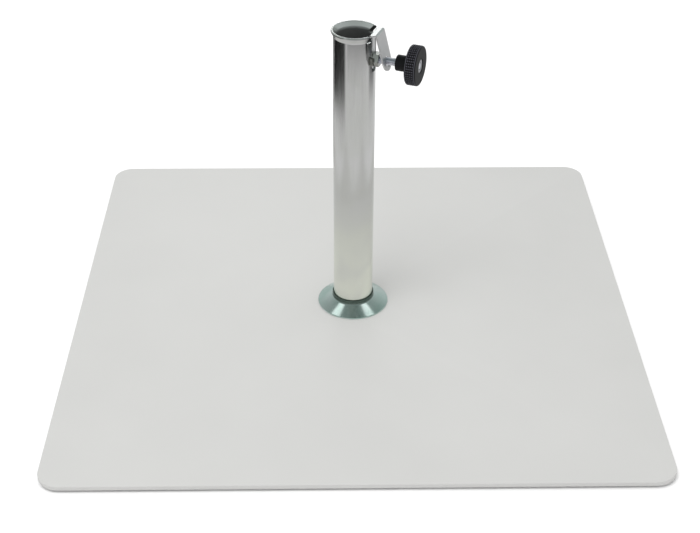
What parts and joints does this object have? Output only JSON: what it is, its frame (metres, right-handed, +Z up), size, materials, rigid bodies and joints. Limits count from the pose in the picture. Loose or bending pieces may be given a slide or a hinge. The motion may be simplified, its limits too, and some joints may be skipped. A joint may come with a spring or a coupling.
{
  "type": "parasol base",
  "caption": "Square steel plate parasol base with an upright socket tube, a pressed cover ring at its foot and a knobbed clamping screw with a sheet-metal leaf at the rim.",
  "frame": {"origin": "middle of the plate, on the ground that the glides stand on", "axes": "+Z up along the socket tube, towards the mouth that the pole goes into; +X and +Y along the plate's sides; the clamping screw points 21.5 degrees from +X towards -Y"},
  "size_m": [0.6, 0.6, 0.331],
  "materials": {
    "powder_coat": "light grey powder coat, fine satin texture",
    "rubber": "black rubber",
    "zinc_screws": "bright zinc plate on steel",
    "bright_zinc": "bright zinc plate on a polished steel tube",
    "cover_chrome": "bright plated pressed sheet with a faint green cast",
    "weld_metal": "zinc plated weld bead",
    "zinc_nut": "bright zinc plate on steel",
    "leaf_zinc": "satin zinc plate on bent sheet steel",
    "black_plastic": "black moulded plastic with a cross-knurled grip",
    "insert_steel": "turned zinc plated steel"
  },
  "bodies": {
    "base": {"base_plate": "powder_coat", "glide_1": "rubber", "glide_2": "rubber", "glide_3": "rubber", "glide_4": "rubber", "fixing_screw_1": "zinc_screws", "fixing_screw_2": "zinc_screws", "fixing_screw_3": "zinc_screws", "fixing_screw_4": "zinc_screws", "foot_disc": "bright_zinc", "foot_weld": "weld_metal", "cover_ring": "cover_chrome", "socket_tube": "bright_zinc", "weld_nut": "zinc_nut", "nut_weld_left": "weld_metal", "nut_weld_right": "weld_metal"},
    "leaf": {"clamp_leaf": "leaf_zinc"},
    "knob": {"clamp_screw": "zinc_screws", "knob": "black_plastic", "knob_insert": "insert_steel"}
  },
  "joints": [
    {"name": "leaf_slide", "type": "slide", "parent": "base", "child": "leaf", "axis": [-0.9304, 0.3665, 0], "range_m": [0, 0.00313]},
    {"name": "knob_turn", "type": "hinge", "parent": "leaf", "child": "knob", "pos_m": [0.05583, -0.02199, 0.3015], "axis": [-0.9304, 0.3665, 0], "range_deg": [0, 900]}
  ],
  "couplings": [
    {"joint": "knob_turn", "follows": "leaf_slide", "rad_per_m": 5026.5}
  ]
}
